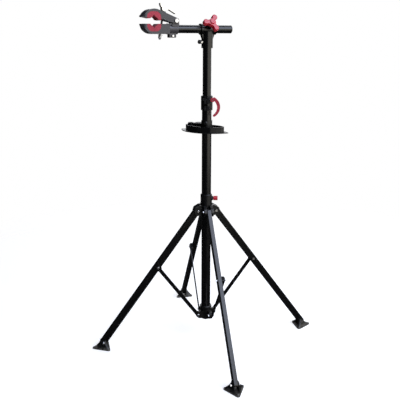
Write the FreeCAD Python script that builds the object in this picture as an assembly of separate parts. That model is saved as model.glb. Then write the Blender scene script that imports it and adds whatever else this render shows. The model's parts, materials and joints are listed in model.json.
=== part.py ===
import FreeCAD, Part
import math
import os

# Four-legged folding repair stand, millimetres, +Z up.
# Origin: on the floor under the mast axis.  The clamp arm points along -X.

V = FreeCAD.Vector
X_AXIS = V(1, 0, 0)
Y_AXIS = V(0, 1, 0)
Z_AXIS = V(0, 0, 1)
ORIGIN = V(0, 0, 0)

# ---- fits -------------------------------------------------------------------
RUN = 0.05
PRESS = 0.0
SIDE = 0.5

# ---- masts ------------------------------------------------------------------
LOWER_R = 19.0
LOWER_BORE = 17.2
LOWER_Z0 = 92.0
LOWER_Z1 = 1020.0
UPPER_R = 16.7
UPPER_BORE = 15.0
UPPER_Z0 = 640.0
UPPER_Z1 = 1256.0
BUSH_LENGTH = 45.0

# ---- cam collar at the top of the lower mast ----------------------------------
COLLAR_Z0 = 975.0
COLLAR_Z1 = 1030.0
COLLAR_R = 23.0
EAR_Y = -38.0
EAR_HALF = 9.5
SLIT = 3.0
CAM_X = 22.0
CAM_Y = -31.0
CAM_Z = 1017.0

# ---- legs, struts and hubs (measured in the vertical plane of one leg) ----------
LEG_AZIMUTHS = [194.5, 284.5, 14.5, 104.5]
PIVOT_R = 38.0
HUB_PIVOT_Z = 568.0
BASE_PIVOT_Z = 112.0
FOOT_BOLT_R = 439.0
FOOT_BOLT_Z = 25.0
FOOT_GRIP = 30.0
LEG_DEEP = 28.0
LEG_WIDE = 17.0
LEG_WALL = 1.6
STRUT_WIDE = 15.0
STRUT_THICK = 3.0
STRUT_LAT = 18.5
BOLT_R = 3.0
HEAD_R = 5.2
HEAD_T = 3.6
LEAN = math.degrees(math.atan2(FOOT_BOLT_R - PIVOT_R, HUB_PIVOT_Z - FOOT_BOLT_Z))
LEG_LENGTH = math.hypot(FOOT_BOLT_R - PIVOT_R, HUB_PIVOT_Z - FOOT_BOLT_Z)
LINK = 0.5 * (HUB_PIVOT_Z - BASE_PIVOT_Z) / math.cos(math.radians(LEAN))

HUB_Z0 = 590.0
HUB_Z1 = 636.0
HUB_R = 23.4
HUB_BORE = 19.3
LUG_IN = LEG_WIDE / 2 + SIDE
LUG_OUT = 19.0

# ---- tool tray ----------------------------------------------------------------
TRAY_TURN = -30.0
TRAY_Z = 890.0
TRAY_FLOOR = 3.0
TRAY_RIM_Z = 914.0
TRAY_WALL = 2.6
TRAY_SHIFT = -10.0
LENS_LENGTH = 107.0
LENS_FRONT = 64.0
LENS_BACK = 43.0
TRAY_SLEEVE_Z = 935.0
TRAY_SCREW_Z = 926.0
TRAY_SCREW_DIR = V(0.3746, -0.9272, 0)

# ---- head, arm and clamp --------------------------------------------------------
HEAD_TURN = 25.0
ARM_Z = 1279.3
ARM_R = 15.0
ARM_X0 = -163.0
ARM_X1 = 96.5
HEAD_SLEEVE_R = 19.2
HEAD_FLANGE_R = 20.6
KNOB_DIR = V(0, -0.873, 0.488)
HEAD_SCREW_Z = 1233.0
HEAD_SCREW_DIR = V(-0.9848, -0.1736, 0)
JAW_X = -222.0
JAW_Z = 1305.0
JAW_OUT_R = 44.3
JAW_RING_X = -220.5
JAW_SLOPE = 10.1
PAD_WIDE = 54.0
PAD_HIGH = 70.0
PAD_CORNER_R = 20.0
JAW_HALF = 25.0
JAW_GAP = 8.2
GRIP_R = 17.0
JAW_PIVOT_X = -135.4
JAW_PIVOT_Z = 1308.4
ROD_X = -183.8
ROD_TILT = 8.5
ROD_R = 4.0
LEVER_UP = 46.0
LUG_X = -145.0
LUG_Z = 1254.6


# ---- helpers --------------------------------------------------------------------
def cylinder(radius, length, base, axis=Z_AXIS):
    return Part.makeCylinder(radius, length, base, axis)


def tube(outer, inner, z0, z1):
    body = cylinder(outer, z1 - z0, V(0, 0, z0))
    return body.cut(cylinder(inner, z1 - z0 + 2, V(0, 0, z0 - 1)))


def box(x0, x1, y0, y1, z0, z1):
    return Part.makeBox(x1 - x0, y1 - y0, z1 - z0, V(x0, y0, z0))


def rounded_wire(points, radius):
    edges = []
    last = None
    first = None
    count = len(points)
    for i in range(count):
        here = points[i]
        back = (points[i - 1] - here).normalize()
        ahead = (points[(i + 1) % count] - here).normalize()
        half = back.getAngle(ahead) / 2
        reach = radius / math.tan(half)
        p0 = here + back * reach
        p1 = here + ahead * reach
        inward = (back + ahead).normalize()
        middle = here + inward * (radius / math.sin(half) - radius)
        if last is None:
            first = p0
        else:
            edges.append(Part.makeLine(last, p0))
        edges.append(Part.Arc(p0, middle, p1).toShape())
        last = p1
    edges.append(Part.makeLine(last, first))
    return Part.Wire(edges)


def plan_block(points, radius, z0, z1):
    corners = [V(x, y, z0) for x, y in points]
    return Part.Face(rounded_wire(corners, radius)).extrude(V(0, 0, z1 - z0))


def side_block(points, radius, y0, y1):
    corners = [V(x, y0, z) for x, z in points]
    return Part.Face(rounded_wire(corners, radius)).extrude(V(0, y1 - y0, 0))


def side_polygon(points, y0, y1):
    corners = [V(x, y0, z) for x, z in points]
    corners.append(corners[0])
    return Part.Face(Part.makePolygon(corners)).extrude(V(0, y1 - y0, 0))


def fuse_all(shapes):
    return shapes[0].multiFuse(shapes[1:]).removeSplitter()


def turned(shape, azimuth):
    copy = shape.copy()
    copy.rotate(ORIGIN, Z_AXIS, azimuth)
    return copy


def hexagon(width, length, base, axis):
    corners = []
    for i in range(7):
        angle = math.radians(60 * i)
        corners.append(V(width / 2 / math.cos(math.pi / 6) * math.cos(angle),
                         width / 2 / math.cos(math.pi / 6) * math.sin(angle), 0))
    prism = Part.Face(Part.makePolygon(corners)).extrude(V(0, 0, length))
    prism.Placement = FreeCAD.Placement(base, FreeCAD.Rotation(Z_AXIS, axis))
    return prism


def chamfered_disc(radius, length, base, axis, chamfer):
    disc = Part.makeCylinder(radius, length)
    far = [e for e in disc.Edges if len(e.Vertexes) == 1 and e.CenterOfMass.z > length - 0.01]
    disc = disc.makeChamfer(chamfer, far)
    disc.Placement = FreeCAD.Placement(base, FreeCAD.Rotation(Z_AXIS, axis))
    return disc


def cross_bolt(x, z, y0, y1):
    # bolt along the sideways axis: dome head outside y1, nut outside y0
    shank = cylinder(BOLT_R, y1 - y0, V(x, y0, z), Y_AXIS)
    head = chamfered_disc(HEAD_R, HEAD_T, V(x, y1, z), Y_AXIS, 1.4)
    nut = hexagon(9.0, 4.2, V(x, y0, z), Y_AXIS * -1)
    return fuse_all([shank, head, nut])


def bolt_hole(x, z, y0, y1):
    return cylinder(BOLT_R + RUN, y1 - y0, V(x, y0, z), Y_AXIS)


# ---- masts -----------------------------------------------------------------------
def lower_mast():
    return tube(LOWER_R, LOWER_BORE, LOWER_Z0, LOWER_Z1)


def upper_mast():
    return tube(UPPER_R, UPPER_BORE, UPPER_Z0, UPPER_Z1)


def mast_bushing():
    body = tube(LOWER_BORE - RUN, UPPER_R, UPPER_Z0, UPPER_Z0 + BUSH_LENGTH)
    lip = tube(LOWER_BORE - RUN, UPPER_BORE, UPPER_Z0 - 4, UPPER_Z0)
    return body.fuse(lip).removeSplitter()


# ---- cam collar --------------------------------------------------------------------
def cam_collar():
    body = chamfered_disc(COLLAR_R, COLLAR_Z1 - COLLAR_Z0, V(0, 0, COLLAR_Z0), Z_AXIS, 1.5)
    ears = [body]
    for z0, z1 in ((COLLAR_Z0 + 1, COLLAR_Z0 + 18), (COLLAR_Z1 - 28, COLLAR_Z1 - 6)):
        ears.append(side_block([(-EAR_HALF, z0), (EAR_HALF, z0), (EAR_HALF, z1), (-EAR_HALF, z1)],
                               3.0, EAR_Y, -15.0))
    body = fuse_all(ears)
    body = body.cut(cylinder(LOWER_R + RUN, LOWER_Z1 - COLLAR_Z0 + 1, V(0, 0, COLLAR_Z0 - 1)))
    body = body.cut(cylinder(UPPER_R + RUN, 80, V(0, 0, COLLAR_Z0)))
    body = body.cut(box(-SLIT / 2, SLIT / 2, EAR_Y - 5, -10, COLLAR_Z0 - 1, COLLAR_Z1 + 1))
    body = body.cut(cylinder(BOLT_R + RUN, 60, V(-30, CAM_Y, CAM_Z), X_AXIS))
    return body.cut(cylinder(2.05, 60, V(-30, CAM_Y, COLLAR_Z0 + 9), X_AXIS))


def collar_screw():
    shank = cylinder(2.0, 2 * EAR_HALF, V(-EAR_HALF, CAM_Y, COLLAR_Z0 + 9), X_AXIS)
    head = chamfered_disc(3.6, 2.6, V(EAR_HALF, CAM_Y, COLLAR_Z0 + 9), X_AXIS, 0.8)
    nut = hexagon(6.6, 2.8, V(-EAR_HALF, CAM_Y, COLLAR_Z0 + 9), X_AXIS * -1)
    return fuse_all([shank, head, nut])


def cam_bolt():
    shank = cylinder(BOLT_R, EAR_HALF + CAM_X - 4, V(-EAR_HALF, CAM_Y, CAM_Z), X_AXIS)
    nut = hexagon(10.0, 6.0, V(-EAR_HALF, CAM_Y, CAM_Z), X_AXIS * -1)
    eye = cylinder(5.0, 5.6, V(CAM_X, CAM_Y - 2.8, CAM_Z), Y_AXIS)
    bolt = fuse_all([shank, nut, eye])
    return bolt.cut(cylinder(2.5 + RUN, 12, V(CAM_X, CAM_Y - 6, CAM_Z), Y_AXIS))


def cam_pin():
    return cylinder(2.5, 16.4, V(CAM_X, CAM_Y - 8.2, CAM_Z), Y_AXIS)


def cam_lever():
    mid_x = 9.0
    mid_z = 990.0
    outer = cylinder(42.5, 14, V(mid_x, CAM_Y - 7, mid_z), Y_AXIS)
    inner = cylinder(33.9, 16, V(mid_x - 3.4, CAM_Y - 8, mid_z - 2.1), Y_AXIS)
    ring = outer.cut(inner)
    far = 200
    low = math.radians(-60)
    high = math.radians(64)
    wedge = [(mid_x, mid_z),
             (mid_x + far * math.cos(low), mid_z + far * math.sin(low)),
             (mid_x + far, mid_z),
             (mid_x + far * math.cos(high), mid_z + far * math.sin(high))]
    band = ring.common(side_polygon(wedge, CAM_Y - 10, CAM_Y + 10))
    tip_r = 38.27
    tip = cylinder(4.2, 14, V(mid_x + tip_r * math.cos(low), CAM_Y - 7, mid_z + tip_r * math.sin(low)),
                   Y_AXIS)
    eye = cylinder(8.0, 14, V(CAM_X, CAM_Y - 7, CAM_Z), Y_AXIS)
    body = fuse_all([band, tip, eye])
    fork = box(-20, CAM_X + 7.0, CAM_Y - 3.2, CAM_Y + 3.2, CAM_Z - 14, CAM_Z + 14)
    body = body.cut(fork)
    return body.cut(cylinder(2.5, 20, V(CAM_X, CAM_Y - 10, CAM_Z), Y_AXIS))


# ---- sliding hub -------------------------------------------------------------------
def lug_pair(pivot_z, outline):
    lugs = []
    for sign in (1, -1):
        y0 = LUG_IN if sign > 0 else -LUG_OUT
        lugs.append(side_block(outline, 6.0, y0, y0 + LUG_OUT - LUG_IN))
    return lugs


def hub_sleeve():
    sleeve = chamfered_disc(HUB_R, HUB_Z1 - HUB_Z0 + 44, V(0, 0, HUB_Z0 - 44), Z_AXIS, 3.0)
    parts = [sleeve]
    outline = [(12, 591), (29, 592), (49, 581), (54, 566), (45, 550), (12, 547)]
    for azimuth in LEG_AZIMUTHS:
        for lug in lug_pair(HUB_PIVOT_Z, outline):
            parts.append(turned(lug, azimuth))
    boss = cylinder(9.0, 27.5, V(0, 0, 617.6), X_AXIS)
    parts.append(boss)
    body = fuse_all(parts)
    body = body.cut(cylinder(HUB_BORE, 120, V(0, 0, HUB_Z0 - 50)))
    for azimuth in LEG_AZIMUTHS:
        body = body.cut(turned(bolt_hole(PIVOT_R, HUB_PIVOT_Z, -30, 30), azimuth))
    return body.cut(cylinder(3.5 + RUN, 20, V(12, 0, 617.6), X_AXIS))


def hub_knob():
    body = cylinder(9.0, 17.0, V(29.0, 0, 617.6), X_AXIS)
    neck = cylinder(6.0, 1.2, V(27.8, 0, 617.6), X_AXIS)
    knob = body.fuse(neck)
    for i in range(9):
        angle = math.radians(40 * i)
        groove = cylinder(1.6, 20, V(28.9, 9.6 * math.cos(angle), 617.6 + 9.6 * math.sin(angle)), X_AXIS)
        knob = knob.cut(groove)
    return knob.cut(cylinder(3.5, 14, V(27, 0, 617.6), X_AXIS))


def hub_knob_stud():
    return cylinder(3.5, 21.6, V(19.4, 0, 617.6), X_AXIS)


# ---- legs, struts, feet --------------------------------------------------------------
def leg_bar():
    half = LEG_DEEP / 2
    corners = [V(-half, -LEG_WIDE / 2, 20), V(half, -LEG_WIDE / 2, 20),
               V(half, LEG_WIDE / 2, 20), V(-half, LEG_WIDE / 2, 20)]
    bar = Part.Face(rounded_wire(corners, 2.4)).extrude(V(0, 0, -LEG_LENGTH - 40))
    stadium = [(-half, half), (half, half), (half, -LEG_LENGTH - half), (-half, -LEG_LENGTH - half)]
    bar = bar.common(side_block(stadium, half - 0.01, -20, 20))
    inner = LEG_WALL
    hollow = box(-half + inner, half - inner, -LEG_WIDE / 2 + inner, LEG_WIDE / 2 - inner,
                 -LEG_LENGTH - 40, 40)
    bar = bar.cut(hollow)
    for z in (0, -LINK, -LEG_LENGTH):
        bar = bar.cut(bolt_hole(0, z, -30, 30))
    return bar


def leg():
    bar = leg_bar()
    bar.rotate(ORIGIN, Y_AXIS, -LEAN)
    bar.translate(V(PIVOT_R, 0, HUB_PIVOT_Z))
    return bar


def strut():
    half = STRUT_WIDE / 2
    outline = [(-half, -half), (half, -half), (half, LINK + 11), (-half, LINK + 11)]
    y1 = STRUT_LAT + STRUT_THICK
    bar = side_block(outline, half - 0.01, STRUT_LAT, y1)
    bar = bar.fuse(box(-half, half, STRUT_LAT, y1, LINK - 20, LINK + 11))
    spacer = side_block([(-11, LINK - 14), (11, LINK - 14), (11, LINK + 13), (-11, LINK + 13)], 3.0,
                        LUG_IN, STRUT_LAT)
    bar = bar.fuse(spacer).removeSplitter()
    for z in (0, LINK):
        bar = bar.cut(bolt_hole(0, z, 0, 40))
    bar.rotate(ORIGIN, Y_AXIS, LEAN)
    bar.translate(V(PIVOT_R, 0, BASE_PIVOT_Z))
    return bar


def foot_triangle(reach, radius, z):
    corners = []
    for i in range(3):
        angle = math.radians(120 * i)
        corners.append(V(FOOT_BOLT_R + reach * math.cos(angle), reach * math.sin(angle), z))
    return rounded_wire(corners, radius)


def foot():
    sole = Part.Face(foot_triangle(51.0, 7.0, 0)).extrude(V(0, 0, 6))
    steps = [foot_triangle(47.0, 7.0, 6), foot_triangle(31.0, 8.0, 22), foot_triangle(23.0, 7.0, 34)]
    body = sole.fuse(Part.makeLoft(steps, True, True))
    x = FOOT_BOLT_R
    cheeks = plan_block([(x + 12, 9.5), (x - 13, 14), (x - 13, -14), (x + 12, -9.5)], 3.0, 5, 36)
    body = body.fuse(cheeks).removeSplitter()
    slot_x0 = FOOT_BOLT_R - 70
    body = body.cut(box(slot_x0, slot_x0 + 140, -LUG_IN, LUG_IN, 9.0, 60))
    for y0 in (-45.0, FOOT_GRIP / 2 - 0.3):
        spot_face = cylinder(HEAD_R + 1.2, 45.3 - FOOT_GRIP / 2, V(FOOT_BOLT_R, y0, FOOT_BOLT_Z), Y_AXIS)
        body = body.cut(spot_face)
    return body.cut(bolt_hole(FOOT_BOLT_R, FOOT_BOLT_Z, -40, 40))


def strut_pivot():
    x = PIVOT_R + LINK * math.sin(math.radians(LEAN))
    z = HUB_PIVOT_Z - LINK * math.cos(math.radians(LEAN))
    return x, z


# ---- bottom hub --------------------------------------------------------------------
def turned_profile(points):
    corners = [V(r, 0, z) for r, z in points]
    corners.append(corners[0])
    return Part.Face(Part.makePolygon(corners)).revolve(ORIGIN, Z_AXIS, 360)


def bottom_hub():
    profile = [(0, 82), (6, 82), (11, 83.3), (16, 86.3), (20.5, 91), (22.5, 98), (22.5, 138), (25, 139),
               (25, 145), (23.5, 147), (0, 147)]
    body = turned_profile(profile)
    parts = [body]
    outline = [(10, 126), (38, 124), (45, 117), (45, 105), (34, 95), (10, 93)]
    for azimuth in LEG_AZIMUTHS:
        lug = side_block(outline, 4.0, 5.0, STRUT_LAT - 0.4)
        parts.append(turned(lug, azimuth))
    body = fuse_all(parts)
    body = body.cut(cylinder(LOWER_R, 80, V(0, 0, LOWER_Z0)))
    for azimuth in LEG_AZIMUTHS:
        body = body.cut(turned(bolt_hole(PIVOT_R, BASE_PIVOT_Z, 0, 40), azimuth))
    return body


# ---- tray --------------------------------------------------------------------------
def lens(length, front, back, z0, z1):
    discs = []
    for width, side in ((front, 1), (back, -1)):
        radius = (length * length + width * width) / (2 * width)
        discs.append(cylinder(radius, z1 - z0, V(TRAY_SHIFT, side * (radius - width), z0)))
    return discs[0].common(discs[1])


def tray_outline(inset):
    outer = [(-90, -13), (-58, -42), (-12, -55), (40, -44), (77, -14),
             (77, 5), (50, 22), (10, 28), (-34, 34), (-66, 29), (-90, 9)]
    middle = -11.0
    points = []
    for x, y in outer:
        reach = math.hypot(x - TRAY_SHIFT, y - middle)
        points.append((x - (x - TRAY_SHIFT) / reach * inset, y - (y - middle) / reach * inset))
    return points


def tray():
    flange = lens(LENS_LENGTH, LENS_FRONT, LENS_BACK, TRAY_Z, TRAY_Z + TRAY_FLOOR)
    shell = plan_block(tray_outline(0), 10.0, TRAY_Z + 1, TRAY_RIM_Z)
    hollow = plan_block(tray_outline(TRAY_WALL * 1.2), 8.0, TRAY_Z + TRAY_FLOOR, TRAY_RIM_Z + 1)
    wall = shell.cut(hollow)
    sleeve = cylinder(21.9, TRAY_SLEEVE_Z - TRAY_Z + 7, V(0, 0, TRAY_Z - 7))
    rib = box(-TRAY_WALL / 2, TRAY_WALL / 2, -53, 26, TRAY_Z + 1, TRAY_RIM_Z - 4)
    cup = cylinder(11.5, 30, V(-73, -1, TRAY_Z + 1))
    rack = plan_block([(-60, -6), (-26, -6), (-26, 31), (-52, 30), (-60, 24)], 9.0, TRAY_Z + 1,
                      TRAY_RIM_Z + 7)
    boss = cylinder(7.0, 26.5, V(0, 0, TRAY_SCREW_Z), TRAY_SCREW_DIR)
    body = fuse_all([flange, wall, sleeve, rib, cup, rack, boss])
    body = body.cut(cylinder(8.2, 60, V(-73, -1, TRAY_Z - 10)))
    for y in (0, 14):
        corners = [(-55, y), (-31, y), (-31, y + 7.5), (-55, y + 7.5)]
        body = body.cut(plan_block(corners, 3.0, TRAY_Z + 6, TRAY_RIM_Z + 20))
    for x in (82, 90):
        body = body.cut(cylinder(2.2, 20, V(x, -3, TRAY_Z - 5)))
    body = body.cut(cylinder(LOWER_R + 0.08, 80, V(0, 0, TRAY_Z - 20)))
    hole = cylinder(3.0 + RUN, 20, TRAY_SCREW_DIR * 12 + V(0, 0, TRAY_SCREW_Z), TRAY_SCREW_DIR)
    return turned(body.cut(hole), TRAY_TURN)


def tray_screw():
    base = V(0, 0, TRAY_SCREW_Z)
    shank = cylinder(3.0, 13.0, TRAY_SCREW_DIR * 19.3 + base, TRAY_SCREW_DIR)
    head = chamfered_disc(7.5, 9.0, TRAY_SCREW_DIR * 27.4 + base, TRAY_SCREW_DIR, 1.5)
    return turned(shank.fuse(head).removeSplitter(), TRAY_TURN)


# ---- head ---------------------------------------------------------------------------
def t_head():
    sleeve = cylinder(HEAD_SLEEVE_R, 63, V(-30.5, 0, ARM_Z), X_AXIS)
    left = cylinder(HEAD_FLANGE_R, 7, V(-30.5, 0, ARM_Z), X_AXIS)
    right = cylinder(HEAD_FLANGE_R, 7, V(25.5, 0, ARM_Z), X_AXIS)
    post = cylinder(22.1, ARM_Z - 1210 - 8, V(0, 0, 1210))
    collar = chamfered_disc(22.1, 4, V(0, 0, 1214), Z_AXIS * -1, 1.2)
    web = side_block([(-27, ARM_Z - 18), (27, ARM_Z - 18), (20, 1243), (-20, 1243)], 3.0, -9, 9)
    axis = KNOB_DIR * 1.0
    boss = cylinder(10.0, 33, V(0, 0, ARM_Z), axis)
    side = cylinder(7.0, 24.0, V(0, 0, HEAD_SCREW_Z), HEAD_SCREW_DIR)
    body = fuse_all([sleeve, left, right, post, collar, web, boss, side])
    body = body.cut(cylinder(ARM_R + RUN, 120, V(-60, 0, ARM_Z), X_AXIS))
    body = body.cut(cylinder(UPPER_R, UPPER_Z1 - 1200, V(0, 0, 1200)))
    body = body.cut(cylinder(4.0 + RUN, 60, V(0, 0, ARM_Z), axis))
    return body.cut(cylinder(3.5 + RUN, 40, V(0, 0, HEAD_SCREW_Z), HEAD_SCREW_DIR))


def head_knob():
    lobes = [cylinder(14.5, 15, ORIGIN)]
    for angle in (176, 56, -64):
        turn = math.radians(angle)
        tip = V(25 * math.cos(turn), 25 * math.sin(turn), 0)
        arm = box(0, 25, -8.4, 8.4, 0, 15)
        arm.rotate(ORIGIN, Z_AXIS, angle)
        lobes.append(arm)
        lobes.append(cylinder(10.4, 15, tip))
    body = fuse_all(lobes)
    rim = [e for e in body.Edges if e.BoundBox.ZMin > 14.99]
    body = body.makeFillet(3.0, rim)
    body = body.fuse(chamfered_disc(9.5, 19, ORIGIN, Z_AXIS, 1.5)).removeSplitter()
    body = body.cut(cylinder(4.0, 17, V(0, 0, -1)))
    body.Placement = knob_frame(40.0)
    return body


def knob_frame(reach):
    axis = KNOB_DIR * 1.0
    axis.normalize()
    flat = V(0, 0, 1).cross(axis)
    flat.normalize()
    up = axis.cross(flat)
    turn = FreeCAD.Rotation(flat, up, axis, "ZXY")
    return FreeCAD.Placement(V(0, 0, ARM_Z) + axis * reach, turn)


def head_stud():
    body = cylinder(4.0, 40.5, ORIGIN)
    body = body.fuse(cylinder(7.0, 3.0, V(0, 0, 20))).removeSplitter()
    body.Placement = knob_frame(15.3)
    return body


def head_screw():
    base = V(0, 0, HEAD_SCREW_Z)
    head = chamfered_disc(7.6, 8.5, HEAD_SCREW_DIR * 31.5 + base, HEAD_SCREW_DIR, 1.5)
    return head.cut(cylinder(3.5, 6, HEAD_SCREW_DIR * 30 + base, HEAD_SCREW_DIR))


def head_screw_shank():
    base = V(0, 0, HEAD_SCREW_Z)
    shank = cylinder(3.5, 19.0, HEAD_SCREW_DIR * 16.9 + base, HEAD_SCREW_DIR)
    nut = hexagon(12.0, 6.6, HEAD_SCREW_DIR * 24.4 + base, HEAD_SCREW_DIR)
    return shank.fuse(nut).removeSplitter()


# ---- arm and clamp --------------------------------------------------------------------
def arm_tube():
    body = cylinder(ARM_R, ARM_X1 - ARM_X0, V(ARM_X0, 0, ARM_Z), X_AXIS)
    return body.cut(cylinder(ARM_R - 1.6, 300, V(ARM_X0 - 1, 0, ARM_Z), X_AXIS))


def arm_cap():
    plug = cylinder(ARM_R - 1.6, 12, V(ARM_X1 - 12, 0, ARM_Z), X_AXIS)
    lid = chamfered_disc(ARM_R, 4.5, V(ARM_X1, 0, ARM_Z), X_AXIS, 1.6)
    return plug.fuse(lid).removeSplitter()


def rod_slot(half):
    return box(-195.5, -166, -half, half, 1240, 1372)


def jaw_ring():
    ring = cylinder(JAW_OUT_R, 2 * JAW_HALF, V(JAW_RING_X, -JAW_HALF, JAW_Z), Y_AXIS)
    return ring.cut(pad_block(-30, 30))


def pad_block(y0, y1):
    # the outline both pads make together
    x0 = JAW_X - PAD_WIDE / 2
    x1 = JAW_X + PAD_WIDE / 2
    z0 = JAW_Z - PAD_HIGH / 2
    z1 = JAW_Z + PAD_HIGH / 2
    return side_block([(x0, z0), (x1, z0), (x1, z1), (x0, z1)], PAD_CORNER_R, y0, y1)


def jaw_envelope():
    # rounds the two upright corners at the jaws' tips
    x0 = JAW_RING_X - JAW_OUT_R - 1.5
    corners = [(x0, -JAW_HALF), (-60, -JAW_HALF), (-60, JAW_HALF), (x0, JAW_HALF)]
    return plan_block(corners, 14.0, 1200, 1400)


def above_slope(x0, x1):
    # the upper pad's face falls towards the pivot
    block = box(x0 - JAW_X, x1 - JAW_X, -30, 30, 0, 90)
    block.rotate(ORIGIN, Y_AXIS, JAW_SLOPE)
    block.translate(V(JAW_X, 0, JAW_Z + 8.4))
    return block


def upper_jaw():
    keep = box(-275, -150, -30, 30, JAW_Z + JAW_GAP, 1400)
    keep = keep.common(above_slope(-285, -150))
    ring = jaw_ring().common(keep)
    lip = side_block([(-249, 1333), (-264, 1325), (-265.5, 1321.5), (-251, 1319.5)], 1.2,
                     -JAW_HALF, JAW_HALF)
    plate = [(-232, 1346), (-200, 1345), (-131, 1317.5), (-125, 1303), (-141, 1300),
             (-168, 1306.5), (-194, 1318)]
    parts = [ring, lip]
    for y0 in (-JAW_HALF, JAW_HALF - 4.0):
        cheek = side_block(plate, 2.0, y0, y0 + 4.0)
        cheek = cheek.cut(pad_block(-30, 30))
        parts.append(cheek.fuse(cylinder(9.6, 4.0, V(JAW_PIVOT_X, y0, JAW_PIVOT_Z), Y_AXIS)))
    bridge = side_polygon([(-212, 1345.5), (-200, 1344.5), (-150, 1324.6), (-151.5, 1321),
                           (-200, 1339), (-212, 1339)], -JAW_HALF, JAW_HALF)
    parts.append(bridge.cut(pad_block(-30, 30)))
    u = LEVER_UP
    seat = side_polygon([(-8, u - 9.4), (8, u - 9.4), (8, u - 17.8), (-8, u - 14.0)], -9, 9)
    seat.Placement = rod_frame()
    parts.append(seat)
    body = fuse_all(parts).common(jaw_envelope())
    body = body.cut(rod_slot(5.0))
    return body.cut(cylinder(5.0 + RUN, 60, V(JAW_PIVOT_X, -30, JAW_PIVOT_Z), Y_AXIS))


def lower_jaw():
    keep = box(-275, -150, -30, 30, 1200, JAW_Z - JAW_GAP)
    ring = jaw_ring().common(keep)
    lip = side_block([(-251, 1296.8), (-265, 1296.8), (-265, 1292.5), (-251, 1281)], 1.2,
                     -JAW_HALF, JAW_HALF)
    plate = [(-232, 1263.5), (-205, 1261), (-161.5, 1261), (-161.5, 1296.5), (-191, 1296.8),
             (-205, 1288)]
    parts = [ring, lip]
    for y0 in (-JAW_HALF, JAW_HALF - 4.0):
        cheek = side_block(plate, 3.0, y0, y0 + 4.0)
        parts.append(cheek.cut(pad_block(-30, 30)))
    floor = box(-222, -167, -JAW_HALF, JAW_HALF, 1261.5, 1266.5)
    parts.append(floor.cut(pad_block(-30, 30)))
    parts.append(box(-168, -162, -JAW_HALF, JAW_HALF, 1262, 1295))
    parts.append(cylinder(19.4, 41, V(-165, 0, ARM_Z), X_AXIS))
    for y0 in (-20.0, 15.0):
        ear = side_block([(-153, 1287), (-122, 1287), (-124, 1317), (-141, 1317)], 5.0, y0, y0 + 5.0)
        parts.append(ear)
    parts.append(side_block([(-158, 1266), (-132, 1266), (-132, 1248), (-158, 1248)], 3.0, -12, 12))
    body = fuse_all(parts).common(jaw_envelope())
    body = body.cut(cylinder(ARM_R, 120, V(ARM_X0, 0, ARM_Z), X_AXIS))
    body = body.cut(cylinder(ARM_R - 4, 20, V(-175, 0, ARM_Z), X_AXIS))
    body = body.cut(box(LUG_X - 16, LUG_X + 25, -1, 1, 1240, 1270))
    body = body.cut(cylinder(2.5, 60, V(LUG_X, -30, LUG_Z), Y_AXIS))
    body = body.cut(rod_slot(5.0))
    return body.cut(cylinder(5.0 + RUN, 60, V(JAW_PIVOT_X, -30, JAW_PIVOT_Z), Y_AXIS))


def pad(side):
    core = pad_block(-JAW_HALF + 0.5, JAW_HALF - 0.5)
    if side > 0:
        core = core.common(above_slope(-260, -180))
    else:
        core = core.common(box(-260, -180, -30, 30, 1250, JAW_Z - JAW_GAP))
    core = core.cut(cylinder(GRIP_R, 60, V(JAW_X, -30, JAW_Z), Y_AXIS))
    vee = side_polygon([(JAW_X - 6.5, JAW_Z), (JAW_X + 6.5, JAW_Z),
                        (JAW_X + 6.5, JAW_Z + 15.7 * side), (JAW_X, JAW_Z + 23.5 * side),
                        (JAW_X - 6.5, JAW_Z + 15.7 * side)], -30, 30)
    return core.cut(vee).cut(rod_slot(5.0))


def jaw_pivot():
    body = cylinder(5.0, 2 * JAW_HALF + 1, V(JAW_PIVOT_X, -JAW_HALF - 0.5, JAW_PIVOT_Z), Y_AXIS)
    head = chamfered_disc(8.0, 3.6, V(JAW_PIVOT_X, -JAW_HALF - 0.5, JAW_PIVOT_Z), Y_AXIS * -1, 1.2)
    nut = hexagon(14.0, 5.0, V(JAW_PIVOT_X, JAW_HALF + 0.5, JAW_PIVOT_Z), Y_AXIS)
    return fuse_all([body, head, nut])


def lug_bolt():
    shank = cylinder(2.5, 24, V(LUG_X, -12, LUG_Z), Y_AXIS)
    head = chamfered_disc(4.6, 4.0, V(LUG_X, -12, LUG_Z), Y_AXIS * -1, 1.0)
    nut = hexagon(8.0, 4.0, V(LUG_X, 12, LUG_Z), Y_AXIS)
    return fuse_all([shank, head, nut])


def rod_frame():
    return FreeCAD.Placement(V(ROD_X, 0, JAW_Z), FreeCAD.Rotation(Y_AXIS, ROD_TILT))


def tension_rod():
    body = cylinder(ROD_R, LEVER_UP + 64, V(0, 0, -64))
    eye = cylinder(6.0, 8.0, V(0, -4.0, LEVER_UP), Y_AXIS)
    body = body.fuse(eye).removeSplitter()
    body = body.cut(cylinder(3.0, 20, V(0, -10, LEVER_UP), Y_AXIS))
    body.Placement = rod_frame()
    return body


def rod_nut():
    body = chamfered_disc(6.4, 11.5, V(0, 0, -48.4), Z_AXIS * -1, 1.2)
    for i in range(8):
        angle = math.radians(45 * i)
        groove = cylinder(1.2, 20, V(7.0 * math.cos(angle), 7.0 * math.sin(angle), -65))
        body = body.cut(groove)
    body = body.fuse(cylinder(9.0, 1.6, V(0, 0, -48.6))).removeSplitter()
    body = body.cut(cylinder(ROD_R + RUN, 40, V(0, 0, -70)))
    body.Placement = rod_frame()
    return body


def lever_pin():
    body = cylinder(3.0, 21, V(0, -10.5, LEVER_UP), Y_AXIS)
    body.Placement = rod_frame()
    return body


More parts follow.
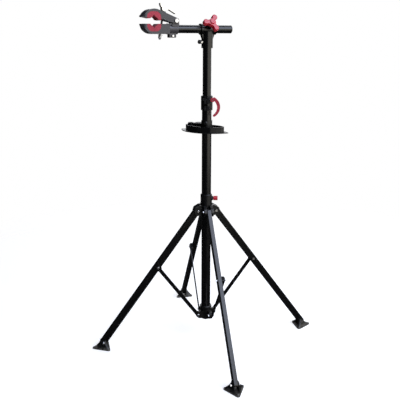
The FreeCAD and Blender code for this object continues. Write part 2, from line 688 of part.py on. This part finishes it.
def jaw_lever():
    u = LEVER_UP
    cam = cylinder(8.6, 20, V(0, -10, u), Y_AXIS)
    handle = side_block([(-6, u + 4), (0, u + 11), (20, u + 9), (50, u - 8), (52, u - 13),
                         (18, u), (4, u - 6)], 2.0, -10, 10)
    finger = side_block([(-6, u + 1), (-13, u + 6), (-17, u + 15), (-14, u + 19), (-10, u + 12),
                         (4, u + 7)], 1.2, -8, 8)
    body = fuse_all([cam, handle, finger])
    body = body.cut(box(-30, 9.5, -4.3, 4.3, u - 12, u + 8))
    body = body.cut(cylinder(3.0 + RUN, 30, V(0, -15, u), Y_AXIS))
    body.Placement = rod_frame()
    return body


# ---- export ---------------------------------------------------------------------------
def export(name, shape):
    shape.exportStep("parts/" + name + ".step")


def main():
    os.makedirs("parts", exist_ok=True)
    for maker in (lower_mast, upper_mast, mast_bushing, bottom_hub, cam_collar, collar_screw,
                  cam_bolt, cam_pin, cam_lever, hub_sleeve, hub_knob, hub_knob_stud, tray, tray_screw):
        export(maker.__name__, maker())
    for maker in (t_head, head_knob, head_stud, head_screw, head_screw_shank, arm_tube, arm_cap,
                  lower_jaw, upper_jaw, jaw_pivot, lug_bolt, tension_rod, rod_nut, lever_pin,
                  jaw_lever):
        export(maker.__name__, turned(maker(), HEAD_TURN))
    export("upper_pad", turned(pad(1), HEAD_TURN))
    export("lower_pad", turned(pad(-1), HEAD_TURN))
    mid_x, mid_z = strut_pivot()
    limbs = {
        "leg": leg(),
        "strut": strut(),
        "foot": foot(),
        "hub_bolt": cross_bolt(PIVOT_R, HUB_PIVOT_Z, -LUG_OUT, LUG_OUT),
        "base_bolt": cross_bolt(PIVOT_R, BASE_PIVOT_Z, 5.0, STRUT_LAT + STRUT_THICK + 0.3),
        "leg_bolt": cross_bolt(mid_x, mid_z, -LEG_WIDE / 2, STRUT_LAT + STRUT_THICK + 0.3),
        "foot_bolt": cross_bolt(FOOT_BOLT_R, FOOT_BOLT_Z, -FOOT_GRIP / 2, FOOT_GRIP / 2),
    }
    for name, shape in limbs.items():
        for number, azimuth in enumerate(LEG_AZIMUTHS, 1):
            export(name + "_" + str(number), turned(shape, azimuth))


main()
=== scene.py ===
"""The looks of a folding bicycle repair stand: finishes, softened edges, small pieces, light and camera."""

import json
import math

import bpy
from mathutils import Matrix, Vector


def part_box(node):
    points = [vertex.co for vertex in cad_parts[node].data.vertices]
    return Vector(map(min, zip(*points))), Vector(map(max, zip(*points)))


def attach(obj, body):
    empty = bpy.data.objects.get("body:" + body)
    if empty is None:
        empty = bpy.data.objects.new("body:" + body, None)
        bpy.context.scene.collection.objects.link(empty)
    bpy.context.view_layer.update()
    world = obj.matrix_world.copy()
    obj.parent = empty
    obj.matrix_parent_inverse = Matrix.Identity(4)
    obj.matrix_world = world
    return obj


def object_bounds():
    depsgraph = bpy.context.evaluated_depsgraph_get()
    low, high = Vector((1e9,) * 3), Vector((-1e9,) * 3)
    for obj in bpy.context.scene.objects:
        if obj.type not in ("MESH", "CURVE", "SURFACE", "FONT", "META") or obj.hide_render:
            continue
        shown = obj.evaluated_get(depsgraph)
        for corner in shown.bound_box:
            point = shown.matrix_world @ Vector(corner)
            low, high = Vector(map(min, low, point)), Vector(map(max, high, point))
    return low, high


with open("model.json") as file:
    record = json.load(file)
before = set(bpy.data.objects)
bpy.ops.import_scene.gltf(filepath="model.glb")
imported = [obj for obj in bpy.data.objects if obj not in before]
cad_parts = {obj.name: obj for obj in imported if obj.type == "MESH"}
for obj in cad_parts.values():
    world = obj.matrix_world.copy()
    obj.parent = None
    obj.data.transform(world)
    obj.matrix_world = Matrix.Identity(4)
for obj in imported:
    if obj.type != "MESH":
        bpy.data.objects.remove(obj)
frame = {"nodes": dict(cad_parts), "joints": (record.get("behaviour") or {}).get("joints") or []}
cad_low, cad_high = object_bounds()
nodes = frame["nodes"]
MM = 0.001

# Albedo of each finish: its darker and lighter blotches, and what shows where it is rubbed or dusty.
PAINT = (0.0012, 0.0012, 0.0014)
PAINT_LIGHT = (0.0024, 0.0024, 0.0027)
PAINT_RUBBED = (0.040, 0.039, 0.038)
JAW_PAINT = (0.036, 0.034, 0.037)
JAW_PAINT_LIGHT = (0.050, 0.047, 0.051)
PLASTIC = (0.0016, 0.0016, 0.0017)
PLASTIC_LIGHT = (0.0034, 0.0034, 0.0036)
PLASTIC_RUBBED = (0.035, 0.035, 0.035)
DUST = (0.16, 0.15, 0.13)
RED = (0.52, 0.016, 0.034)
RED_DEEP = (0.36, 0.010, 0.020)
LEVER_RED = (0.44, 0.045, 0.070)
LEVER_RED_DEEP = (0.32, 0.028, 0.044)
RUBBER = (0.46, 0.040, 0.066)
RUBBER_DEEP = (0.28, 0.018, 0.034)

# The thread on the tension rod and on the knobs' studs.
THREAD_PITCH = 1.25 * MM

# Softened edges: a share of a part's least size, kept between two widths.
EDGE_SHARE = 0.03
EDGE_LEAST = 0.12 * MM
EDGE_MOST = 0.5 * MM

# The weld beads round the clamp's neck: how far the joint is from the arm's pivot, and the beads' own sizes.
NECK_FROM_PIVOT = 161.2 * MM
NECK_R = 19.9 * MM
BEAD_R = 1.3 * MM
BEAD_SPREAD = 50.0
BEAD_STEP = 2.0
BEAD_RIPPLE = 1.9
BEAD_SIDES = 10

# The floor: its radius, where it starts to fade and where it is gone, as distances from the mast.
FLOOR_R = 3.2
FLOOR_FADE = 0.8
FLOOR_GONE = 0.7 * FLOOR_R
FLOOR_DROP = 0.05 * MM
FLOOR_SIDES = 96

# The lights face a point this far up the stand.
AIM_SHARE = 0.65


class Look:
    """A procedural material in the making: one Principled shader and the nodes that feed it."""

    def __init__(self, name, metallic=0.0, coat=0.0, coat_roughness=0.1, specular=0.5):
        self.material = bpy.data.materials.new(name)
        self.material.use_nodes = True
        self.tree = self.material.node_tree
        self.shader = self.tree.nodes["Principled BSDF"]
        self.shader.inputs["Metallic"].default_value = metallic
        self.shader.inputs["Coat Weight"].default_value = coat
        self.shader.inputs["Coat Roughness"].default_value = coat_roughness
        self.shader.inputs["Specular IOR Level"].default_value = specular
        self.place = self.node("ShaderNodeTexCoord").outputs["Object"]
        self.normal = None

    def node(self, kind, settings=None, **links):
        """A node of that kind. Settings are its properties. Each link is a socket, a number or a colour."""
        made = self.tree.nodes.new(kind)
        for key, value in (settings or {}).items():
            setattr(made, key, value)
        for key, value in links.items():
            self.join(made.inputs[key.replace("_", " ")], value)
        return made

    def join(self, socket, value):
        if isinstance(value, bpy.types.NodeSocket):
            self.tree.links.new(value, socket)
        elif isinstance(value, tuple) and len(value) == 3 and socket.type == "RGBA":
            socket.default_value = (*value, 1.0)
        else:
            socket.default_value = value

    def stretched(self, scale):
        """The object's own coordinates, stretched by scale along X, Y and Z."""
        return self.node("ShaderNodeMapping", Vector=self.place, Scale=scale).outputs["Vector"]

    def noise(self, scale, detail=4.0, roughness=0.55, place=None):
        made = self.node(
            "ShaderNodeTexNoise", Vector=place or self.place, Scale=scale, Detail=detail, Roughness=roughness
        )
        return made.outputs["Fac"]

    def span(self, value, low, high, start=0.0, end=1.0):
        """Value, taken from low..high to start..end and kept inside them."""
        made = self.node("ShaderNodeMapRange", {"clamp": True}, Value=value)
        made.inputs["From Min"].default_value = low
        made.inputs["From Max"].default_value = high
        made.inputs["To Min"].default_value = start
        made.inputs["To Max"].default_value = end
        return made.outputs["Result"]

    def sum(self, a, b, operation="ADD"):
        made = self.node("ShaderNodeMath", {"operation": operation, "use_clamp": operation == "MULTIPLY"})
        self.join(made.inputs[0], a)
        self.join(made.inputs[1], b)
        return made.outputs[0]

    def mix(self, share, first, second):
        made = self.node("ShaderNodeMix", {"data_type": "RGBA"})
        self.join(made.inputs[0], share)
        self.join(made.inputs[6], first)
        self.join(made.inputs[7], second)
        return made.outputs[2]

    def edges(self, radius):
        """1 along the sharp edges, within about that radius, and 0 on the faces between them."""
        rounded = self.node("ShaderNodeBevel", {"samples": 4}, Radius=radius).outputs["Normal"]
        flat = self.node("ShaderNodeNewGeometry").outputs["Normal"]
        dot = self.node("ShaderNodeVectorMath", {"operation": "DOT_PRODUCT"})
        self.join(dot.inputs[0], rounded)
        self.join(dot.inputs[1], flat)
        return self.span(self.sum(1.0, dot.outputs["Value"], "SUBTRACT"), 0.02, 0.30)

    def colour(self, value):
        self.join(self.shader.inputs["Base Color"], value)

    def roughness(self, value):
        self.join(self.shader.inputs["Roughness"], value)

    def bump(self, height, depth, strength=1.0):
        """Adds a bump that is depth metres deep where height goes from 0 to 1."""
        made = self.node("ShaderNodeBump", Height=height, Distance=depth, Strength=strength)
        if self.normal is not None:
            self.join(made.inputs["Normal"], self.normal)
        self.normal = made.outputs["Normal"]
        self.join(self.shader.inputs["Normal"], self.normal)


def powder_coat(name, dark=PAINT, light=PAINT_LIGHT, gloss=0.25, wear=0.45, streaks=0.0):
    """Satin powder coat on steel: orange peel, faint blotches, handling marks and rubbed edges.
    Streaks is how far the marks of a part that slides up and down it show."""
    look = Look(name, specular=0.5)
    blotch = look.span(look.noise(7.0, 5.0), 0.35, 0.65)
    scuff = look.span(look.noise(46.0, 7.0, 0.7), 0.60, 0.72)
    patches = look.span(look.noise(120.0, 6.0), 0.40, 0.62, 0.0, wear)
    rubbed = look.sum(look.edges(0.9 * MM), patches, "MULTIPLY")
    base = look.mix(blotch, dark, light)
    base = look.mix(look.sum(scuff, 0.16, "MULTIPLY"), base, PAINT_RUBBED)
    if streaks:
        long_marks = look.noise(150.0, 4.0, 0.6, look.stretched((1.0, 1.0, 0.03)))
        rubs = look.span(long_marks, 0.56, 0.70, 0.0, streaks)
        base = look.mix(rubs, base, PAINT_RUBBED)
    look.colour(look.mix(rubbed, base, PAINT_RUBBED))
    uneven = look.span(look.noise(22.0, 6.0), 0.3, 0.7, gloss - 0.03, gloss + 0.04)
    look.roughness(look.sum(uneven, look.sum(scuff, 0.10, "MULTIPLY")))
    look.bump(look.noise(620.0, 2.0), 0.045 * MM)
    look.bump(look.noise(90.0, 3.0), 0.06 * MM)
    return look.material


def moulded_plastic(name, gloss=0.36, dusty=0.0):
    """Glass-filled nylon with a spark-eroded grain, faint flow marks and whitened corners.
    Dusty is how much floor dust clings to its lowest centimetre."""
    look = Look(name, specular=0.5)
    flow = look.noise(18.0, 4.0, 0.6, look.stretched((1.0, 1.0, 3.5)))
    worn = look.sum(look.edges(0.8 * MM), look.span(look.noise(150.0, 5.0), 0.42, 0.64, 0.0, 0.5), "MULTIPLY")
    base = look.mix(worn, look.mix(look.span(flow, 0.35, 0.65), PLASTIC, PLASTIC_LIGHT), PLASTIC_RUBBED)
    if dusty:
        height = look.node("ShaderNodeSeparateXYZ", Vector=look.place).outputs["Z"]
        low = look.span(height, 2.0 * MM, 14.0 * MM, dusty, 0.0)
        base = look.mix(look.sum(low, look.span(look.noise(75.0, 6.0), 0.35, 0.60), "MULTIPLY"), base, DUST)
    look.colour(base)
    look.roughness(look.span(look.noise(35.0, 5.0), 0.3, 0.7, gloss - 0.05, gloss + 0.08))
    look.bump(look.noise(900.0, 3.0), 0.05 * MM)
    look.bump(flow, 0.10 * MM)
    return look.material


def red_plastic(name, deep, bright, gloss=0.26):
    """Glossy moulded colour with swirl in the pigment, sink marks and fine handling scratches."""
    look = Look(name, coat=0.35, coat_roughness=0.12)
    swirl = look.span(look.noise(30.0, 5.0, 0.6), 0.32, 0.68)
    worn = look.sum(look.edges(0.8 * MM), look.span(look.noise(170.0, 4.0), 0.45, 0.65, 0.0, 0.4), "MULTIPLY")
    paler = tuple(min(1.0, 0.25 + 0.75 * c) for c in bright)
    look.colour(look.mix(worn, look.mix(swirl, deep, bright), paler))
    scratch = look.noise(210.0, 5.0, 0.7, look.stretched((0.15, 1.0, 1.0)))
    look.roughness(look.span(scratch, 0.40, 0.70, gloss - 0.05, gloss + 0.10))
    look.bump(look.noise(55.0, 2.0), 0.08 * MM)
    look.bump(scratch, 0.02 * MM)
    return look.material


def soft_rubber(name):
    """Pinkish red moulded rubber: matt, dusty in its hollows, with a fine pebbled skin."""
    look = Look(name, specular=0.35)
    dust = look.span(look.noise(40.0, 6.0, 0.65), 0.35, 0.75)
    look.colour(look.mix(dust, RUBBER_DEEP, RUBBER))
    look.roughness(look.span(look.noise(80.0, 5.0), 0.3, 0.7, 0.48, 0.66))
    look.shader.inputs["Sheen Weight"].default_value = 0.12
    look.shader.inputs["Sheen Roughness"].default_value = 0.5
    pebble = look.node("ShaderNodeTexVoronoi", Vector=look.place, Scale=700.0).outputs["Distance"]
    look.bump(pebble, 0.12 * MM, 0.6)
    look.bump(look.noise(160.0, 3.0), 0.10 * MM)
    return look.material


def bright_steel(name, gloss):
    """Bright nickel plate: smudges, hairlines and a slight warm tint."""
    look = Look(name, metallic=1.0)
    smudge = look.span(look.noise(60.0, 6.0, 0.7), 0.35, 0.7)
    look.colour(look.mix(smudge, (0.86, 0.86, 0.87), (0.66, 0.65, 0.64)))
    look.roughness(look.sum(look.span(look.noise(300.0, 5.0), 0.3, 0.7, gloss - 0.04, gloss + 0.06),
                            look.sum(smudge, 0.10, "MULTIPLY")))
    look.bump(look.noise(400.0, 3.0, 0.6, look.stretched((1.0, 0.2, 1.0))), 0.015 * MM)
    return look.material


def zinc_steel(name):
    """Zinc plate: cool grey spangle with dull patches."""
    look = Look(name, metallic=1.0)
    spangle = look.node("ShaderNodeTexVoronoi", Vector=look.place, Scale=420.0).outputs["Color"]
    tone = look.node("ShaderNodeRGBToBW", Color=spangle).outputs["Val"]
    look.colour(look.mix(look.span(tone, 0.2, 0.8), (0.46, 0.47, 0.50), (0.62, 0.63, 0.65)))
    look.roughness(look.span(look.noise(130.0, 5.0), 0.3, 0.7, 0.24, 0.40))
    look.bump(look.noise(500.0, 4.0), 0.02 * MM)
    return look.material


def black_oxide(name):
    """Blackened screw steel: oily dark, with a trace of bare metal on its corners."""
    look = Look(name, metallic=1.0)
    bare = look.sum(look.edges(0.5 * MM), look.span(look.noise(260.0, 5.0), 0.40, 0.62, 0.0, 0.6), "MULTIPLY")
    oily = look.mix(look.span(look.noise(90.0, 4.0), 0.3, 0.7), (0.045, 0.045, 0.050), (0.080, 0.078, 0.080))
    look.colour(look.mix(bare, oily, (0.40, 0.40, 0.41)))
    look.roughness(look.span(look.noise(160.0, 4.0), 0.3, 0.7, 0.28, 0.42))
    look.bump(look.noise(480.0, 3.0), 0.02 * MM)
    return look.material


def threaded_steel(name, axis):
    """Zinc plate with a screw thread cut round it: ridges across the axis, one to each pitch, with painted
    shade darkening the grooves between them.
    """
    look = Look(name, metallic=1.0)
    turn = Vector(axis).rotation_difference(Vector((1, 0, 0))).to_euler()
    along = look.node("ShaderNodeMapping", Vector=look.place, Rotation=tuple(turn)).outputs["Vector"]
    wave = look.node(
        "ShaderNodeTexWave", {"wave_type": "BANDS", "bands_direction": "X"}, Vector=along,
        Scale=math.pi / (10.0 * THREAD_PITCH),
    ).outputs["Fac"]
    # Painted shade: the colour is darker in the thread's grooves and lighter on its crests, following the
    # same wave as the bump.
    look.colour(look.mix(wave, (0.30, 0.30, 0.32), (0.66, 0.66, 0.68)))
    look.roughness(look.span(look.noise(200.0, 4.0), 0.3, 0.7, 0.26, 0.38))
    look.bump(wave, 0.45 * THREAD_PITCH)
    return look.material


def pale_acetal(name):
    """Natural acetal bushing: greyish white, waxy, with turning marks."""
    look = Look(name, specular=0.45)
    look.colour(look.mix(look.span(look.noise(40.0, 4.0), 0.3, 0.7), (0.26, 0.26, 0.26), (0.36, 0.36, 0.37)))
    look.roughness(look.span(look.noise(90.0, 4.0), 0.3, 0.7, 0.38, 0.5))
    look.bump(look.noise(350.0, 3.0, 0.6, look.stretched((0.2, 0.2, 1.0))), 0.04 * MM)
    return look.material


def finish_of_slots():
    """The material for each material slot of the record."""
    return {
        "frame_paint": powder_coat("frame_powder_coat"),
        "upper_paint": powder_coat("upper_powder_coat", gloss=0.23, streaks=0.25),
        "jaw_paint": powder_coat("jaw_powder_coat", JAW_PAINT, JAW_PAINT_LIGHT, gloss=0.36),
        "black_plastic": moulded_plastic("black_nylon"),
        "grey_plastic": pale_acetal("natural_acetal"),
        "red_plastic": red_plastic("red_nylon", RED_DEEP, RED),
        "red_rubber": soft_rubber("red_rubber_skin"),
        "bright_steel": bright_steel("nickel_plate", gloss=0.24),
        "plain_steel": zinc_steel("zinc_plate"),
    }


def dress_cad_nodes():
    """Gives every CAD node its finish, and softens its edges."""
    finishes = finish_of_slots()
    axes = {joint["name"]: joint["axis"] for joint in frame["joints"]}
    rub_marked = powder_coat("mast_powder_coat", streaks=0.35)
    dusty = moulded_plastic("foot_nylon", gloss=0.40, dusty=0.8)
    blackened = black_oxide("blackened_screw")
    special = {
        "cam_lever": red_plastic("lever_red_nylon", LEVER_RED_DEEP, LEVER_RED, gloss=0.32),
        "lower_mast": rub_marked,
        "collar_screw": blackened,
        "cam_bolt": blackened,
        "jaw_lever": bright_steel("chrome_lever", gloss=0.20),
        "tension_rod": threaded_steel("rod_thread", axes["rod_travel"]),
        "head_stud": threaded_steel("head_stud_thread", axes["head_knob_turn"]),
        "hub_knob_stud": threaded_steel("hub_stud_thread", axes["hub_knob_turn"]),
    }
    special.update({name: dusty for name in nodes if name.startswith("foot_") and "bolt" not in name})
    for name, node in nodes.items():
        slot = node.material_slots[0].material.name.split(".")[0]
        node.material_slots[0].material = special.get(name, finishes[slot])
        soften(node)


def soften(node):
    """Rounds the sharp edges of a CAD node by a width that suits its size."""
    box_low, box_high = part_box(node.name)
    for corner_normals in [a for a in node.data.attributes if a.name == "custom_normal"]:
        node.data.attributes.remove(corner_normals)
    node.data.polygons.foreach_set("use_smooth", [True] * len(node.data.polygons))
    weld = node.modifiers.new("join_faces", "WELD")
    weld.merge_threshold = 0.01 * MM
    bevel = node.modifiers.new("soft_edges", "BEVEL")
    bevel.width = max(EDGE_LEAST, min(EDGE_MOST, EDGE_SHARE * min(box_high - box_low)))
    bevel.segments = 2
    bevel.limit_method = "ANGLE"
    bevel.angle_limit = math.radians(32)
    bevel.harden_normals = True
    bevel.use_clamp_overlap = True


def bead(name, path, material, body):
    """A weld bead along a path of points: a thin round ridge, rippled, that tapers at both ends."""
    verts = []
    for i, point in enumerate(path):
        ahead = (path[min(i + 1, len(path) - 1)] - path[max(i - 1, 0)]).normalized()
        side = ahead.orthogonal().normalized()
        over = ahead.cross(side)
        taper = min(1.0, 0.45 + 0.2 * min(i, len(path) - 1 - i))
        r = BEAD_R * taper * (1.0 + 0.14 * math.sin(BEAD_RIPPLE * i))
        for k in range(BEAD_SIDES):
            t = math.tau * k / BEAD_SIDES
            verts.append(point + (side * math.cos(t) + over * math.sin(t)) * r)
    faces = []
    for i in range(len(path) - 1):
        for k in range(BEAD_SIDES):
            a = i * BEAD_SIDES + k
            b = i * BEAD_SIDES + (k + 1) % BEAD_SIDES
            faces.append((a, b, b + BEAD_SIDES, a + BEAD_SIDES))
    last = (len(path) - 1) * BEAD_SIDES
    faces.append(tuple(reversed(range(BEAD_SIDES))))
    faces.append(tuple(range(last, last + BEAD_SIDES)))
    mesh = bpy.data.meshes.new(name)
    mesh.from_pydata([tuple(v) for v in verts], [], faces)
    mesh.polygons.foreach_set("use_smooth", [True] * len(mesh.polygons))
    mesh.materials.append(material)
    piece = bpy.data.objects.new(name, mesh)
    bpy.context.scene.collection.objects.link(piece)
    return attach(piece, body)


def neck_welds():
    """The two beads that join the clamp's back wall to its round neck, in front and behind."""
    turn = next(joint for joint in frame["joints"] if joint["name"] == "arm_turn")
    along = Vector(turn["axis"])
    up = Vector((0.0, 0.0, 1.0))
    side = up.cross(along)
    centre = Vector(turn["pos_m"]) - along * NECK_FROM_PIVOT
    finish = powder_coat("bead_powder_coat", JAW_PAINT, JAW_PAINT_LIGHT, gloss=0.34, wear=0.2)
    for name, sign in (("neck_weld_back", 1.0), ("neck_weld_front", -1.0)):
        steps = round(2.0 * BEAD_SPREAD / BEAD_STEP)
        angles = [math.radians(BEAD_STEP * i - BEAD_SPREAD) for i in range(steps + 1)]
        path = [centre + (side * sign * math.cos(t) + up * math.sin(t)) * NECK_R for t in angles]
        bead(name, path, finish, "arm")


def stage():
    """A pale floor that melts into the white backdrop, and the white backdrop itself."""
    angles = [math.tau * i / FLOOR_SIDES for i in range(FLOOR_SIDES)]
    ring = [(FLOOR_R * math.cos(a), FLOOR_R * math.sin(a), 0.0) for a in angles]
    mesh = bpy.data.meshes.new("floor")
    mesh.from_pydata(ring, [], [list(range(FLOOR_SIDES))])
    floor = bpy.data.objects.new("floor", mesh)
    bpy.context.scene.collection.objects.link(floor)
    floor.location.z = cad_low.z - FLOOR_DROP
    floor.visible_glossy = False
    look = Look("pale_floor", specular=0.0)
    look.colour(look.mix(look.span(look.noise(3.0), 0.3, 0.7), (0.86, 0.86, 0.86), (0.88, 0.88, 0.88)))
    look.roughness(0.9)
    look.shader.inputs["Emission Color"].default_value = (1.0, 1.0, 1.0, 1.0)
    look.shader.inputs["Emission Strength"].default_value = 0.46
    away = look.node("ShaderNodeVectorMath", {"operation": "LENGTH"}, Vector=look.place).outputs["Value"]
    clear = look.node("ShaderNodeBsdfTransparent").outputs["BSDF"]
    blend = look.node("ShaderNodeMixShader", Fac=look.span(away, FLOOR_FADE, FLOOR_GONE))
    look.join(blend.inputs[1], look.shader.outputs["BSDF"])
    look.join(blend.inputs[2], clear)
    out = look.tree.nodes["Material Output"]
    look.join(out.inputs["Surface"], blend.outputs["Shader"])
    mesh.materials.append(look.material)

    world = bpy.data.worlds.new("studio")
    world.use_nodes = True
    tree = world.node_tree
    dim = tree.nodes["Background"]
    dim.inputs["Color"].default_value = (0.92, 0.95, 1.0, 1.0)
    dim.inputs["Strength"].default_value = 0.03
    white = tree.nodes.new("ShaderNodeBackground")
    white.inputs["Color"].default_value = (1.0, 1.0, 1.0, 1.0)
    white.inputs["Strength"].default_value = 1.0
    seen = tree.nodes.new("ShaderNodeLightPath")
    mixed = tree.nodes.new("ShaderNodeMixShader")
    tree.links.new(seen.outputs["Is Camera Ray"], mixed.inputs["Fac"])
    tree.links.new(dim.outputs["Background"], mixed.inputs[1])
    tree.links.new(white.outputs["Background"], mixed.inputs[2])
    tree.links.new(mixed.outputs["Shader"], tree.nodes["World Output"].inputs["Surface"])
    bpy.context.scene.world = world


def softbox(name, azimuth, elevation, distance, width, height, radiance, colour):
    """A soft panel of light that faces the stand. Azimuth 0 is in front, and 90 on the right."""
    target = Vector((0.0, 0.0, AIM_SHARE * cad_high.z))
    a = math.radians(azimuth)
    e = math.radians(elevation)
    out = Vector((math.sin(a) * math.cos(e), -math.cos(a) * math.cos(e), math.sin(e)))
    light = bpy.data.lights.new(name, "AREA")
    light.shape = "RECTANGLE"
    light.size = width
    light.size_y = height
    light.energy = radiance * math.pi * width * height
    light.color = colour
    panel = bpy.data.objects.new(name, light)
    panel.location = target + out * distance
    panel.rotation_mode = "QUATERNION"
    panel.rotation_quaternion = (-out).to_track_quat("-Z", "Y")
    panel.visible_camera = False
    bpy.context.scene.collection.objects.link(panel)


def lights():
    """Each light: azimuth, elevation, distance, width, height, radiance and colour."""
    softbox("high_window", 47, 42, 3.5, 4.4, 2.6, 4.8, (0.74, 0.81, 1.0))
    softbox("side_wall", 57, 3, 3.3, 5.2, 2.2, 1.65, (1.0, 0.96, 0.85))
    softbox("right_rim", 125, 12, 3.3, 2.6, 2.2, 1.0, (1.0, 0.98, 0.94))
    softbox("back_sky", 172, 55, 3.6, 2.6, 1.6, 2.4, (0.92, 0.95, 1.0))
    softbox("rear_window", 172, 12, 3.4, 2.6, 2.6, 2.0, (0.96, 0.97, 1.0))


def camera():
    """The camera is in front of the stand, a little lower than its arm, and looks down at its middle."""
    yaw = math.radians(-0.606)
    pitch = math.radians(15.10)
    roll = math.radians(0.175)
    forward = Vector((math.sin(yaw) * math.cos(pitch), math.cos(yaw) * math.cos(pitch), -math.sin(pitch)))
    level = Vector((math.cos(yaw), -math.sin(yaw), 0.0))
    over = level.cross(forward)
    right = level * math.cos(roll) + over * math.sin(roll)
    up = over * math.cos(roll) - level * math.sin(roll)
    data = bpy.data.cameras.new("camera")
    data.sensor_width = 36.0
    data.lens = 55.0
    eye = bpy.data.objects.new("camera", data)
    turn = Matrix((right, up, -forward)).transposed().to_4x4()
    place = (0.0, -2.4048, 1.2577)
    eye.matrix_world = Matrix.Translation(place) @ turn
    bpy.context.scene.collection.objects.link(eye)
    bpy.context.scene.camera = eye
    bpy.context.scene.view_settings.view_transform = "Standard"


dress_cad_nodes()
neck_welds()
stage()
lights()
camera()
